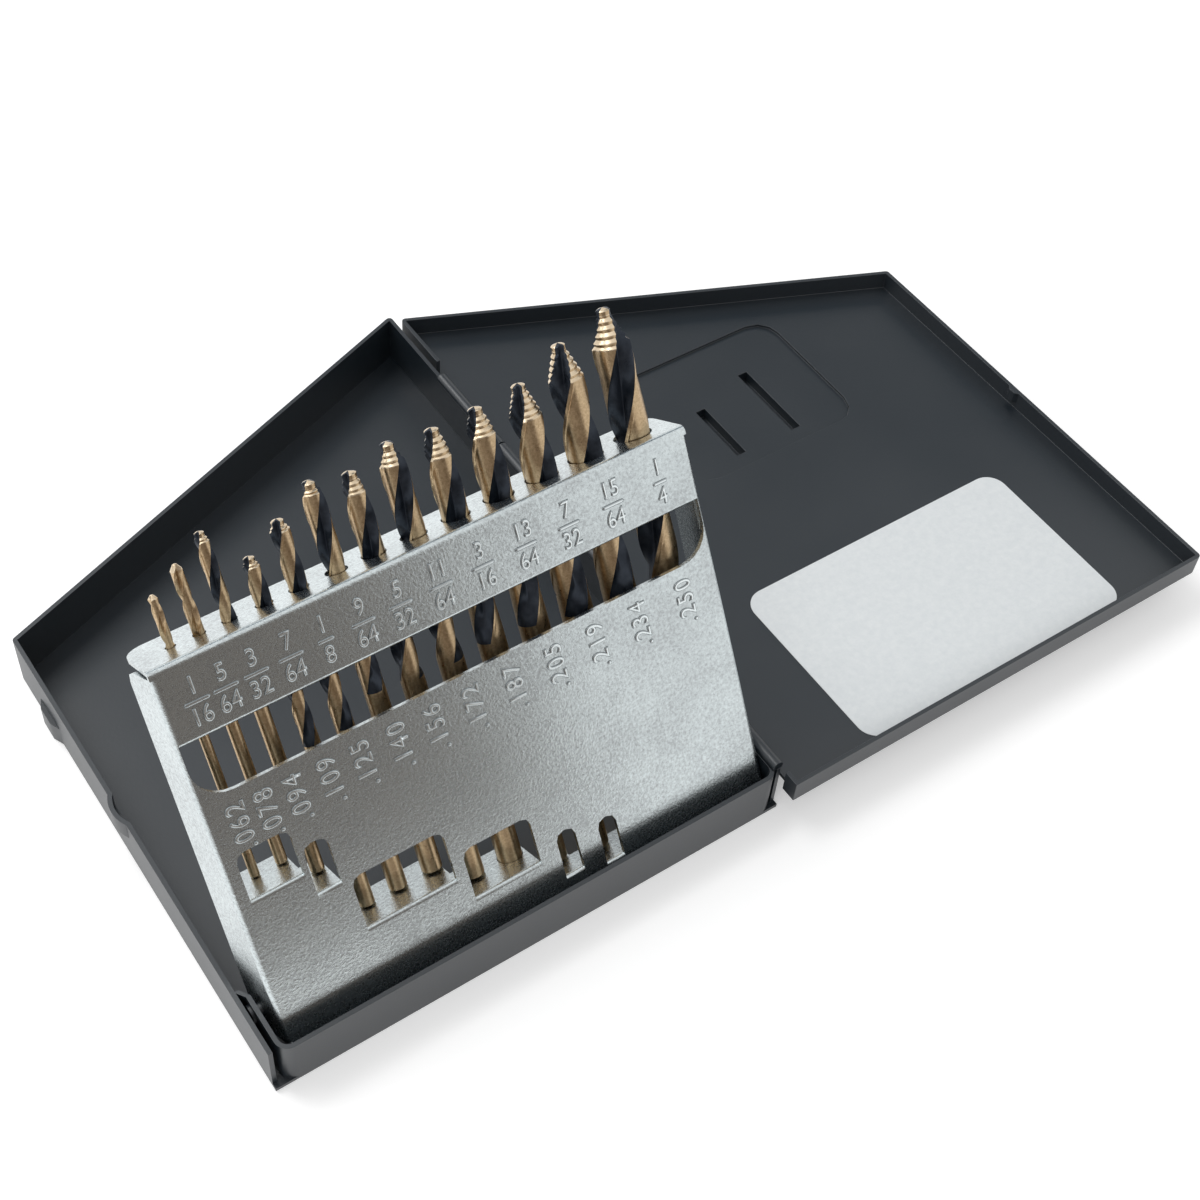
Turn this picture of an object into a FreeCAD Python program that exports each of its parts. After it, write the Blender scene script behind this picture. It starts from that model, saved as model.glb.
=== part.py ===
"""Folding sheet-steel case for thirteen twist drills, in millimetres.

The case lies open on a flat surface. X runs from the hinge to the lid, Y runs from the front
wall to the far wall and Z is up. The origin is on the supporting surface, under the hinge axis,
at the outer face of the front wall. The far walls of both trays slant, so each tray is longest
at the hinge. A hinged insert leans over the front wall and holds the drills by size.
"""
import FreeCAD, Part

import math
import os

import Sketcher

doc = FreeCAD.newDocument("drill_case")
sheet = doc.addObject("Spreadsheet::Sheet", "Sizes")

# Driving dimensions, in millimetres and degrees
SIZES = {
    "steel": 0.8,
    "tray_height": 11.0,
    "tray_left": 100.3,
    "tray_right": 0.4,
    "tray_left_far": 96.8,
    "tray_right_far": 135.2,
    "side_wall_front": 1.0,
    "lid_height": 4.8,
    "lid_hinge_gap": 1.65,
    "lid_width": 98.85,
    "lid_front": 3.5,
    "lid_hinge_far": 133.3,
    "lid_outer_far": 92.2,
    "lid_tab_x": 0.4,
    "lid_tab_back": 0.4,
    "corner_radius": 0.8,
    "hinge_rise": 0.15,
    "hinge_start": 1.2,
    "hinge_length": 112.8,
    "strap_gap": 0.25,
    "knuckle_radius": 1.1,
    "knuckle_gap": 0.3,
    "pin_radius": 0.6,
    "running_clearance": 0.05,
    "lid_notch_end": 118.4,
    "front_corner_radius": 2.5,
    "front_left": 98.5,
    "front_right": 0.55,
    "ear_straight": 11.6,
    "ear_end": 13.4,
    "pivot_y": 9.86,
    "pivot_z": 8.3,
    "rivet_radius": 1.2,
    "rivet_head_radius": 1.7,
    "rivet_head": 0.45,
    "insert_tilt": 60.8,
    "insert_rim_y": 4.5,
    "insert_left": 96.3,
    "insert_right": 1.65,
    "insert_top": 64.2,
    "bend_radius": 1.0,
    "insert_bottom": 5.7,
    "top_flange": 12.4,
    "top_flange_rise": -4.5,
    "flange_corner": 3.5,
    "bottom_flange": 9.5,
    "side_flange_top": 7.7,
    "side_flange_low": 8.9,
    "side_flange_gap": 1.5,
    "side_flange_foot": 4.0,
    "side_flange_round": 2.2,
    "left_splay": 8.0,
    "window_low": 41.3,
    "window_high": 51.0,
    "window_corner": 5.6,
    "window_side": -0.25,
    "shelf_depth": 9.7,
    "drill_depth": 6.2,
    "hole_clearance": 0.2,
    "seat_gap": 0.05,
    "ledge_drop": 0.5,
    "ledge_corner": 1.6,
    "thumb_y": 54.1,
    "thumb_half_width": 3.6,
    "thumb_bulge": 1.0,
    "thumb_depth": 4.0,
    "foot_y": 83.0,
    "foot_half_width": 4.0,
    "foot_bulge": 0.9,
    "foot_height": 4.5,
    "catch_y": 50.0,
    "catch_radius": 1.5,
    "catch_depth": 0.7,
    "catch_height": 2.6,
    "panel_left": 30.5,
    "panel_right": 70.8,
    "panel_near": 64.6,
    "panel_far": 97.3,
    "panel_depth": 0.6,
    "panel_corner": 5.0,
    "groove_depth": 2.4,
    "groove_width": 2.2,
    "groove_near": 68.2,
    "long_groove_x": 57.0,
    "long_groove_far": 86.6,
    "short_groove_x": 43.0,
    "short_groove_far": 82.4,
    "label_left": 19.7,
    "label_right": 83.1,
    "label_near": -1.7,
    "label_far": 37.2,
    "label_corner": 4.0,
    "label_paper": 0.12,
}

# Name, diameter, place along the insert and height of the point above the rim line
DRILLS = (
    ("drill_1_16", 1.588, 90.4, 72.4),
    ("drill_5_64", 1.984, 85.75, 75.4),
    ("drill_3_32", 2.381, 80.8, 78.5),
    ("drill_7_64", 2.778, 75.05, 71.8),
    ("drill_1_8", 3.175, 69.2, 75.4),
    ("drill_9_64", 3.572, 62.8, 79.0),
    ("drill_5_32", 3.969, 56.3, 77.8),
    ("drill_11_64", 4.366, 49.2, 79.7),
    ("drill_3_16", 4.763, 41.6, 78.9),
    ("drill_13_64", 5.159, 33.7, 79.2),
    ("drill_7_32", 5.556, 25.6, 79.9),
    ("drill_15_64", 5.953, 17.15, 83.4),
    ("drill_1_4", 6.35, 7.95, 85.9),
)

# Ledge windows: left edge, right edge, bend line and upper edge on the insert's face
LEDGES = (
    ("ledge_a", 93.8, 84.6, 23.0, 30.9),
    ("ledge_b", 83.7, 79.4, 18.6, 26.9),
    ("ledge_c", 78.0, 61.4, 8.6, 17.7),
    ("ledge_d", 59.3, 46.5, 3.65, 12.4),
    ("ledge_e", 42.9, 39.2, -1.4, 6.6),
    ("ledge_f", 35.0, 31.4, -3.0, 5.0),
)

# The ledge that carries each drill, or none for those that stand on the bottom flange
SEATS = {
    "drill_1_16": "ledge_a",
    "drill_5_64": "ledge_a",
    "drill_3_32": "ledge_b",
    "drill_7_64": "ledge_c",
    "drill_1_8": "ledge_c",
    "drill_9_64": "ledge_c",
    "drill_5_32": "ledge_d",
    "drill_3_16": "ledge_e",
    "drill_13_64": "ledge_f",
}

# Stepped point: radius and height of each step as shares of the drill's radius and diameter
POINT_STEP_SHARES = ((1.0, 0.0), (0.88, 0.22), (0.77, 0.43), (0.66, 0.65), (0.55, 0.86))
POINT_TIP_SHARE = 1.08
BEND_SHARES = ((1.0, 0.0), (0.617, 0.076), (0.293, 0.293), (0.076, 0.617), (0.0, 1.0))
KNUCKLES = 5


def fill_sheet():
    """Writes every driving dimension to the sheet as text, with its alias."""
    rows = list(SIZES.items())
    for name, diameter, place, point in DRILLS:
        rows += [(name + "_diameter", diameter), (name + "_place", place), (name + "_point", point)]
    for name, left, right, low, high in LEDGES:
        rows += [(name + "_left", left), (name + "_right", right)]
        rows += [(name + "_low", low), (name + "_high", high)]
    for row, (alias, value) in enumerate(rows, start=1):
        sheet.set("A%d" % row, alias)
        sheet.set("B%d" % row, str(value))
        sheet.setAlias("B%d" % row, alias)
    doc.recompute()
    return [alias for alias, value in rows]


ALIASES = fill_sheet()


def full(expression):
    """The expression with every alias written as a cell of the sheet."""
    words = []
    word = ""
    for letter in expression + " ":
        if letter.isalnum() or letter in "_.":
            word += letter
            continue
        words.append("Sizes." + word if word in ALIASES else word)
        words.append(letter)
        word = ""
    return "".join(words).strip()


def number(expression):
    """The value of an expression of the sheet's aliases."""
    value = sheet.evalExpression(full(expression))
    return float(getattr(value, "Value", value))


def bind(item, name, expression):
    """Ties a property to an expression of the sheet's aliases."""
    item.setExpression(name, full(expression))


def new_body(label):
    body = doc.addObject("PartDesign::Body", label)
    body.Label = label
    return body


def origin_plane(body, role):
    for feature in body.Origin.OriginFeatures:
        if feature.Role == role:
            return feature


def sketch_on(body, role, name, offset=None):
    """A sketch on one of the body's origin planes, moved along the plane's normal by offset."""
    sketch = body.newObject("Sketcher::SketchObject", name)
    sketch.AttachmentSupport = (origin_plane(body, role), [""])
    sketch.MapMode = "FlatFace"
    if offset is not None:
        bind(sketch, "AttachmentOffset.Base.z", offset)
    return sketch


def draw(sketch, points):
    """A closed outline through points, each held by two driving distances from the origin."""
    flat = [FreeCAD.Vector(number(x), number(y), 0) for x, y in points]
    for index, start in enumerate(flat):
        end = flat[(index + 1) % len(flat)]
        sketch.addGeometry(Part.LineSegment(start, end), False)
    for index in range(len(flat)):
        after = (index + 1) % len(flat)
        sketch.addConstraint(Sketcher.Constraint("Coincident", index, 2, after, 1))
    for index, (x, y) in enumerate(points):
        for kind, expression in (("DistanceX", x), ("DistanceY", y)):
            value = number(expression)
            where = sketch.addConstraint(Sketcher.Constraint(kind, -1, 1, index, 1, value))
            bind(sketch, "Constraints[%d]" % where, expression)
    return sketch


def pad(body, name, role, points, height, offset=None, backward=False):
    """Thickens an outline on an origin plane."""
    sketch = draw(sketch_on(body, role, name + "_outline", offset), points)
    feature = body.newObject("PartDesign::Pad", name)
    feature.Profile = sketch
    feature.Reversed = backward
    bind(feature, "Length", height)
    doc.recompute()
    return feature


def box(body, name, low, high, cut=False):
    """A box between two corners, added to the body or cut from it."""
    kind = "PartDesign::SubtractiveBox" if cut else "PartDesign::AdditiveBox"
    feature = body.newObject(kind, name)
    for side, axis, start, end in zip(("Length", "Width", "Height"), "xyz", low, high):
        bind(feature, side, "(%s) - (%s)" % (end, start))
        bind(feature, "Placement.Base." + axis, start)
    doc.recompute()
    return feature


TURNS = {
    "x": FreeCAD.Rotation(FreeCAD.Vector(0, 1, 0), 90),
    "y": FreeCAD.Rotation(FreeCAD.Vector(1, 0, 0), -90),
    "z": FreeCAD.Rotation(),
}


def rod(body, name, start, radius, length, axis, cut=False):
    """A cylinder along an axis from a start point, added to the body or cut from it."""
    kind = "PartDesign::SubtractiveCylinder" if cut else "PartDesign::AdditiveCylinder"
    feature = body.newObject(kind, name)
    feature.Placement = FreeCAD.Placement(FreeCAD.Vector(), TURNS[axis])
    bind(feature, "Radius", radius)
    bind(feature, "Height", length)
    for letter, place in zip("xyz", start):
        bind(feature, "Placement.Base." + letter, place)
    doc.recompute()
    return feature


def round_edges(body, name, direction, places, radius):
    """Fillets the straight edges along a direction that pass through the given places."""
    base = body.Tip
    along = FreeCAD.Vector(*direction)
    chosen = []
    for index, edge in enumerate(base.Shape.Edges, start=1):
        if not isinstance(edge.Curve, Part.Line) or abs(edge.Curve.Direction.dot(along)) < 0.999:
            continue
        for place in places:
            spot = FreeCAD.Vector(*[number(value) for value in place])
            if edge.Curve.parameter(spot) is not None and edge.Curve.value(
                edge.Curve.parameter(spot)
            ).distanceToPoint(spot) < number("steel") / 20:
                chosen.append("Edge%d" % index)
                break
    feature = body.newObject("PartDesign::Fillet", name)
    feature.Base = (base, chosen)
    bind(feature, "Radius", radius)
    doc.recompute()
    return feature


# Heights and lines that several pieces share
HINGE_Z = "(tray_height + hinge_rise)"
LID_BOTTOM = "(tray_height + hinge_rise - lid_height)"
LID_RIGHT = "(lid_hinge_gap + lid_width)"
TRAY_SLOPE = "((tray_right_far - tray_left_far) / (tray_left + tray_right))"
LID_SLOPE = "((lid_hinge_far - lid_outer_far) / lid_width)"
TRAY_SKEW = "(steel * sqrt(1 + %s ^ 2))" % TRAY_SLOPE
LID_SKEW = "(steel * sqrt(1 + %s ^ 2))" % LID_SLOPE
KNUCKLE_PITCH = "(hinge_length / %d)" % KNUCKLES


def knuckle(body, index, low_z):
    """One hinge knuckle: a curled tube round the pin with its web or leaf."""
    start = "(hinge_start + %s * %d + knuckle_gap / 2)" % (KNUCKLE_PITCH, index)
    length = "(%s - knuckle_gap)" % KNUCKLE_PITCH
    end = "(%s + %s)" % (start, length)
    name = "knuckle_%d" % index
    if index % 2 == 0:
        web_top = "%s - pin_radius - steel / 4" % HINGE_Z
        box(body, name + "_web", ("-tray_right", start, low_z), ("tray_right", end, web_top))
    else:
        outer = "tray_right + strap_gap"
        floor_top = LID_BOTTOM + " + steel"
        strap_end = (outer + " + steel", end, HINGE_Z)
        box(body, name + "_strap", (outer, start, LID_BOTTOM), strap_end)
        box(body, name + "_leaf", (outer, start, LID_BOTTOM), ("lid_hinge_gap + steel", end, floor_top))
    rod(body, name + "_tube", ("0", start, HINGE_Z), "knuckle_radius", length, "y")


def bore_knuckles(body):
    rod(
        body,
        "pin_bore",
        ("0", "hinge_start", HINGE_Z),
        "pin_radius + running_clearance",
        "hinge_length",
        "y",
        cut=True,
    )


def make_base_tray():
    """The deep tray: floor, three walls, and the front wall with its ears inside the side walls."""
    body = new_body("base_tray")
    left, right = "-tray_left", "tray_right"
    inner_left, inner_right = "-tray_left + steel", "tray_right - steel"
    inner_left_far = "tray_left_far + %s * steel - %s" % (TRAY_SLOPE, TRAY_SKEW)
    inner_right_far = "tray_right_far - %s * steel - %s" % (TRAY_SLOPE, TRAY_SKEW)
    floor = [(left, "0"), (right, "0"), (right, "tray_right_far"), (left, "tray_left_far")]
    pad(body, "floor", "XY_Plane", floor, "steel")
    walls = [
        (left, "side_wall_front"),
        (inner_left, "side_wall_front"),
        (inner_left, inner_left_far),
        (inner_right, inner_right_far),
        (inner_right, "side_wall_front"),
        (right, "side_wall_front"),
        (right, "tray_right_far"),
        (left, "tray_left_far"),
    ]
    pad(body, "walls", "XY_Plane", walls, "tray_height")
    touch = "steel / 4"
    front = [
        ("-front_left", "0"),
        ("-front_right", "0"),
        ("-front_right", "ear_straight"),
        ("%s + %s" % (inner_right, touch), "ear_end"),
        ("%s + %s - steel" % (inner_right, touch), "ear_end"),
        ("-front_right - steel", "ear_straight"),
        ("-front_right - steel", "steel"),
        ("-front_left + steel", "steel"),
        ("-front_left + steel", "ear_straight"),
        ("%s - %s + steel" % (inner_left, touch), "ear_end"),
        ("%s - %s" % (inner_left, touch), "ear_end"),
        ("-front_left", "ear_straight"),
    ]
    pad(body, "front_wall", "XY_Plane", front, "tray_height")
    half = "tray_height / 2"
    outer = [("-front_left", "0", half), ("-front_right", "0", half)]
    inner = [("-front_left + steel", "steel", half), ("-front_right - steel", "steel", half)]
    round_edges(body, "front_outer_round", (0, 0, 1), outer, "front_corner_radius")
    round_edges(body, "front_inner_round", (0, 0, 1), inner, "front_corner_radius - steel")
    far = [(left, "tray_left_far", half), (right, "tray_right_far", half)]
    round_edges(body, "far_round", (0, 0, 1), far, "corner_radius")

    wall_top = "%s - knuckle_radius - knuckle_gap" % HINGE_Z
    hinge_end = "hinge_start + hinge_length"
    low = ("tray_right - 2 * steel", "hinge_start", wall_top)
    high = ("tray_right + steel", hinge_end, "tray_height + steel")
    box(body, "hinge_notch", low, high, cut=True)
    for index in range(0, KNUCKLES, 2):
        knuckle(body, index, "%s - steel" % wall_top)
    bore_knuckles(body)

    thumb_notch(body)
    corner_foot(body)
    for side, x in (("left", "-front_left - steel"), ("right", "-front_right - 2 * steel")):
        radius = "rivet_radius + running_clearance"
        place = (x, "pivot_y", "pivot_z")
        rod(body, side + "_rivet_hole", place, radius, "3 * steel - hinge_rise", "x", cut=True)
    return body


def thumb_notch(body):
    """The rim of the latch-side wall pressed outward to take a fingertip."""
    radius = "((thumb_half_width ^ 2 + thumb_bulge ^ 2) / (2 * thumb_bulge))"
    centre = "-tray_left - thumb_bulge + %s" % radius
    low = "tray_height - thumb_depth"
    sector = "steel + thumb_bulge"
    near, far = "thumb_y - thumb_half_width - steel", "thumb_y + thumb_half_width + steel"
    for name, x, z, size, cut in (
        ("thumb_shell", centre, low, radius, False),
        ("thumb_hollow", centre, low + " + steel", radius + " - steel", True),
    ):
        round_piece = [
            ("%s - sqrt((%s) ^ 2 - (%s) ^ 2)" % (x, size, offset), "thumb_y + (%s)" % offset)
            for offset in ["thumb_half_width * %s" % share for share in THUMB_SHARES]
        ]
        inside = "-tray_left + steel" if not cut else "-tray_left + 2 * steel"
        outline = round_piece + [(inside, round_piece[-1][1]), (inside, round_piece[0][1])]
        sketch = draw(sketch_on(body, "XY_Plane", name + "_outline", z), outline)
        kind = "PartDesign::Pocket" if cut else "PartDesign::Pad"
        feature = body.newObject(kind, name)
        feature.Profile = sketch
        feature.Reversed = cut
        bind(feature, "Length", "tray_height - (%s)" % z)
        doc.recompute()


THUMB_SHARES = (-0.98, -0.8, -0.6, -0.4, -0.2, 0.0, 0.2, 0.4, 0.6, 0.8, 0.98)


def corner_foot(body):
    """The small boss pressed out of the lower edge of the latch-side wall."""
    outline = [
        ("-tray_left", "foot_y - foot_half_width"),
        ("-tray_left - foot_bulge", "foot_y - foot_half_width / 2"),
        ("-tray_left - foot_bulge", "foot_y + foot_half_width / 2"),
        ("-tray_left", "foot_y + foot_half_width"),
    ]
    pad(body, "corner_foot", "XY_Plane", outline, "foot_height")


def make_lid_tray():
    """The shallow tray: a floor and four low walls, notched along the hinge."""
    body = new_body("lid_tray")
    left, right = "lid_hinge_gap", LID_RIGHT
    near = "-lid_front"
    tab, tab_back = "lid_tab_x", "-lid_tab_back"
    floor = [(tab, near), (right, near), (right, "lid_outer_far"), (left, "lid_hinge_far")]
    floor += [(left, tab_back), (tab, tab_back)]
    pad(body, "lid_block", "XY_Plane", floor, "lid_height", offset=LID_BOTTOM)
    inside = [
        (tab + " + steel", near + " + steel"),
        (right + " - steel", near + " + steel"),
        (right + " - steel", "lid_outer_far + %s * steel - %s" % (LID_SLOPE, LID_SKEW)),
        (left + " + steel", "lid_hinge_far - %s * steel - %s" % (LID_SLOPE, LID_SKEW)),
        (left + " + steel", tab_back),
        (tab + " + steel", tab_back),
    ]
    hollow(body, "lid_hollow", inside, LID_BOTTOM + " + steel", "lid_height")
    half = "tray_height"
    corners = [(left, "lid_hinge_far", half), (right, "lid_outer_far", half)]
    corners += [(right, near, half)]
    round_edges(body, "lid_round", (0, 0, 1), corners, "corner_radius")

    wall_top = LID_BOTTOM + " + steel"
    low = ("lid_hinge_gap - steel", tab_back, wall_top)
    high = ("lid_hinge_gap + 1.5 * steel", "lid_notch_end", "tray_height + steel")
    box(body, "hinge_notch", low, high, cut=True)
    for index in range(1, KNUCKLES, 2):
        knuckle(body, index, wall_top)
    bore_knuckles(body)

    pressed_panel(body)
    catch_dimple(body)
    return body


def hollow(body, name, points, floor_height, depth):
    """Cuts an outline upward from a height."""
    sketch = draw(sketch_on(body, "XY_Plane", name + "_outline", floor_height), points)
    feature = body.newObject("PartDesign::Pocket", name)
    feature.Profile = sketch
    feature.Reversed = True
    bind(feature, "Length", depth)
    doc.recompute()
    return feature


def rectangle(left, right, near, far):
    return [(left, near), (right, near), (right, far), (left, far)]


def rounded(left, right, near, far, radius, shares=(0.0, 0.29, 0.62, 1.0)):
    """A rectangle whose corners are cut by short chords of a round of the given radius."""
    points = []
    for x, y, a, b in ((left, near, 1, 1), (right, near, -1, 1), (right, far, -1, -1), (left, far, 1, -1)):
        turn = [(1 - math.sin(math.radians(90 * share)), 1 - math.cos(math.radians(90 * share))) for share in shares]
        if a * b < 0:
            turn = [(second, first) for first, second in turn]
        for first, second in turn:
            points.append(("%s + %f * %s" % (x, a * second, radius), "%s + %f * %s" % (y, b * first, radius)))
    return points


def pressed_panel(body):
    """The raised field of the lid's outer face, seen from inside as a shallow recess with two grooves."""
    sides = ("panel_left", "panel_right", "panel_near", "panel_far")
    outline = rounded(*sides, "panel_corner")
    pad(body, "panel_face", "XY_Plane", outline, "panel_depth", offset=LID_BOTTOM + " - panel_depth")
    hollow(body, "panel_recess", outline, LID_BOTTOM + " + steel - panel_depth", "steel")
    for name in ("long_groove", "short_groove"):
        x = name + "_x"
        sides = (x + " - groove_width / 2", x + " + groove_width / 2", "groove_near", name + "_far")
        outer = ("%s - steel / 2", "%s + steel / 2", "%s - steel / 2", "%s + steel / 2")
        bump = rectangle(*[grown % side for grown, side in zip(outer, sides)])
        depth = "panel_depth + groove_depth"
        low = LID_BOTTOM + " - panel_depth - groove_depth"
        pad(body, name + "_bump", "XY_Plane", bump, depth, offset=low)
        hollow(body, name, rectangle(*sides), low + " + steel", depth + " + steel")


def catch_dimple(body):
    """The small dimple of the lid's outer wall that snaps into the latch-side wall."""
    wall = LID_RIGHT + " - steel"
    start = (wall + " + catch_radius - catch_depth", "catch_y", HINGE_Z + " - catch_height")
    outline = [
        (wall, "catch_y - catch_radius"),
        (wall, "catch_y + catch_radius"),
        (wall + " - catch_depth", "catch_y + catch_radius / 2"),
        (wall + " - catch_depth", "catch_y - catch_radius / 2"),
    ]
    pad(body, "catch", "XY_Plane", outline, "catch_height", offset=start[2])


def make_hinge_pin():
    """The plain wire that both rows of knuckles turn on."""
    body = new_body("hinge_pin")
    start = ("0", "hinge_start + knuckle_gap / 2", HINGE_Z)
    rod(body, "wire", start, "pin_radius", "hinge_length - knuckle_gap", "y")
    return body


def make_label():
    """The paper label on the lid's floor."""
    body = new_body("lid_label")
    outline = rounded("label_left", "label_right", "label_near", "label_far", "label_corner")
    pad(body, "paper", "XY_Plane", outline, "label_paper", offset=LID_BOTTOM + " + steel")
    return body


# The insert is drawn flat: X as in the case, Y up its face from the rim line, Z out of its front
INSERT_FRAME = FreeCAD.Placement(
    FreeCAD.Vector(0, number("insert_rim_y"), number("tray_height")),
    FreeCAD.Rotation(FreeCAD.Vector(1, 0, 0), number("insert_tilt")),
)
PIVOT_UP = (
    "((pivot_y - insert_rim_y) * cos(insert_tilt * 1 deg)"
    " + (pivot_z - tray_height) * sin(insert_tilt * 1 deg))"
)
PIVOT_BACK = (
    "((pivot_y - insert_rim_y) * sin(insert_tilt * 1 deg)"
    " + (tray_height - pivot_z) * cos(insert_tilt * 1 deg))"
)
FLANGE_LIFT = "(top_flange * tan(top_flange_rise * 1 deg))"
FLANGE_SKIN = "(steel / cos(top_flange_rise * 1 deg))"


def seat_height(name):
    """Where the drill's shank ends, on its ledge or on the bottom flange."""
    if name in SEATS:
        return "(%s_low - ledge_drop + seat_gap)" % SEATS[name]
    return "(-insert_bottom + steel + seat_gap)"


def make_insert():
    """The folded plate that holds the drills: face, flanges, guide shelf and ledges."""
    body = new_body("insert_panel")
    left, right = "-insert_left", "-insert_right"
    top = "insert_top"
    channel(body)
    inner_left, inner_right = left + " + bend_radius", right + " - bend_radius"
    under = "insert_top - steel / 2"
    box(body, "face", (inner_left, "-insert_bottom", "-steel"), (inner_right, under, "0"))
    box(body, "top_strip", (left, "insert_top - side_flange_gap", "-steel"), (right, under, "0"))
    flange = [
        (top, "0"),
        ("%s + %s" % (top, FLANGE_LIFT), "-top_flange"),
        ("%s + %s - %s" % (top, FLANGE_LIFT, FLANGE_SKIN), "-top_flange"),
        ("%s - %s" % (top, FLANGE_SKIN), "0"),
    ]
    width = "insert_left - insert_right"
    pad(body, "top_flange", "YZ_Plane", flange, width, offset=left)
    rear = "%s + %s - %s / 2" % (top, FLANGE_LIFT, FLANGE_SKIN)
    ends = [(left, rear, "-top_flange"), (right, rear, "-top_flange")]
    round_edges(body, "flange_round", (0, 1, 0), ends, "flange_corner")
    low = (inner_left, "-insert_bottom", "-bottom_flange")
    box(body, "bottom_flange", low, (inner_right, "-insert_bottom + steel", "0"))
    bends = [("0 - insert_left / 2", "-insert_bottom", "0"), ("0 - insert_left / 2", top, "0")]
    round_edges(body, "long_bends", (1, 0, 0), bends, "bend_radius")
    window(body)
    folds = [("0 - insert_left / 2", "window_high", "0")]
    for name, left_edge, right_edge, low_edge, high_edge in LEDGES:
        ledge(body, name)
        folds.append(("-(%s_left + %s_right) / 2" % (name, name), "%s_low - ledge_drop" % name, "0"))
    round_edges(body, "flap_folds", (1, 0, 0), folds, "0.9 * steel")
    for name, diameter, place, point in DRILLS:
        start = ("-%s_place" % name, "window_high - steel", "-drill_depth")
        length = "insert_top - window_high + 2 * steel + abs(%s)" % FLANGE_LIFT
        radius = "(%s_diameter + hole_clearance) / 2" % name
        rod(body, name + "_hole", start, radius, length, "y", cut=True)
    through = ("-drill_11_64_place", "ledge_d_low - 3 * steel", "-drill_depth")
    radius = "(drill_11_64_diameter + hole_clearance) / 2"
    rod(body, "ledge_d_hole", through, radius, "4 * steel", "y", cut=True)
    hole = ("-insert_left - 4 * steel", PIVOT_UP, "-" + PIVOT_BACK)
    radius = "rivet_radius + running_clearance"
    rod(body, "pivot_hole", hole, radius, "insert_left + 4 * steel", "x", cut=True)
    body.Placement = INSERT_FRAME
    return body


def channel(body):
    """The face with both side flanges, as one folded strip, then cut to the flanges' outline."""
    left, right, lean = "-insert_left", "-insert_right", "tan(left_splay * 1 deg)"
    deep = "side_flange_low + side_flange_round"
    tip = "%s - (%s) * %s" % (left, deep, lean)
    turn = [("%f * bend_radius" % a, "-%f * bend_radius" % b) for a, b in BEND_SHARES]
    profile = [(tip, "-" + deep.replace("+", "-"))]
    profile += [("%s + %s" % (left, a), b) for a, b in turn[::-1]]
    profile += [("%s - %s" % (right, a), b) for a, b in turn]
    profile += [
        (right, "-" + deep.replace("+", "-")),
        (right + " - steel", "-" + deep.replace("+", "-")),
        (right + " - steel", "-bend_radius"),
        (right + " - bend_radius", "-steel"),
        (left + " + bend_radius", "-steel"),
        (left + " + steel", "-bend_radius"),
        (tip + " + steel", "-" + deep.replace("+", "-")),
    ]
    top = "insert_top - side_flange_gap"
    height = "%s + side_flange_foot" % top
    pad(body, "channel", "XZ_Plane", profile, height, offset="side_flange_foot", backward=True)
    foot = "-side_flange_foot"
    rear = [
        (foot + " - steel", "-side_flange_low + 2 * side_flange_round"),
        (foot, "-side_flange_low + side_flange_round"),
        (foot + " + side_flange_round", "-side_flange_low"),
        (top + " - side_flange_round", "-side_flange_top"),
        (top + " - 0.29 * side_flange_round", "-side_flange_top + 0.29 * side_flange_round"),
        (top, "-side_flange_top + side_flange_round"),
        (top + " + steel", "-side_flange_top + side_flange_round"),
        (top + " + steel", "-side_flange_low - side_flange_round - steel"),
        (foot + " - steel", "-side_flange_low - side_flange_round - steel"),
    ]
    sketch = draw(sketch_on(body, "YZ_Plane", "flange_outline"), rear)
    feature = body.newObject("PartDesign::Pocket", "flange_rear")
    feature.Profile = sketch
    feature.Midplane = True
    bind(feature, "Length", "3 * insert_left")
    doc.recompute()


def window(body):
    """The long window across the face, with its flap folded back as a guide shelf."""
    left = "-insert_left + steel + window_side"
    right = "-insert_right - steel - window_side"
    turn = [(1 - math.sin(math.radians(a)), 1 - math.cos(math.radians(a))) for a in range(0, 91, 15)]
    turn = [("%f * window_corner" % a, "window_low + %f * window_corner" % b) for a, b in turn]
    outline = [("%s + %s" % (left, a), b) for a, b in turn[::-1]]
    outline += [("%s - %s" % (right, a), b) for a, b in turn]
    outline += [(right, "window_high"), (left, "window_high")]
    sketch = draw(sketch_on(body, "XY_Plane", "window_outline"), outline)
    feature = body.newObject("PartDesign::Pocket", "window")
    feature.Profile = sketch
    bind(feature, "Length", "1.5 * steel")
    doc.recompute()
    low = (left + " + steel / 2", "window_high", "-shelf_depth")
    box(body, "guide_shelf", low, (right + " - steel / 2", "window_high + steel", "0"))


def ledge(body, name):
    """A small window whose flap is folded back as a seat for the shanks."""
    left, right = "-%s_left" % name, "-%s_right" % name
    low, high = name + "_low", name + "_high"
    cut_low = low + " - ledge_drop"
    corner = "ledge_corner"
    outline = [
        (left, cut_low),
        (right, cut_low),
        (right, high + " - " + corner),
        (right + " - 0.29 * " + corner, high + " - 0.29 * " + corner),
        (right + " - " + corner, high),
        (left + " + " + corner, high),
        (left + " + 0.29 * " + corner, high + " - 0.29 * " + corner),
        (left, high + " - " + corner),
    ]
    sketch = draw(sketch_on(body, "XY_Plane", name + "_outline"), outline)
    feature = body.newObject("PartDesign::Pocket", name + "_window")
    feature.Profile = sketch
    bind(feature, "Length", "1.5 * steel")
    doc.recompute()
    depth = "%s - (%s) + steel" % (high, cut_low)
    box(body, name + "_seat", (left, cut_low + " - steel", "-(%s)" % depth), (right, cut_low, "0"))


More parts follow.
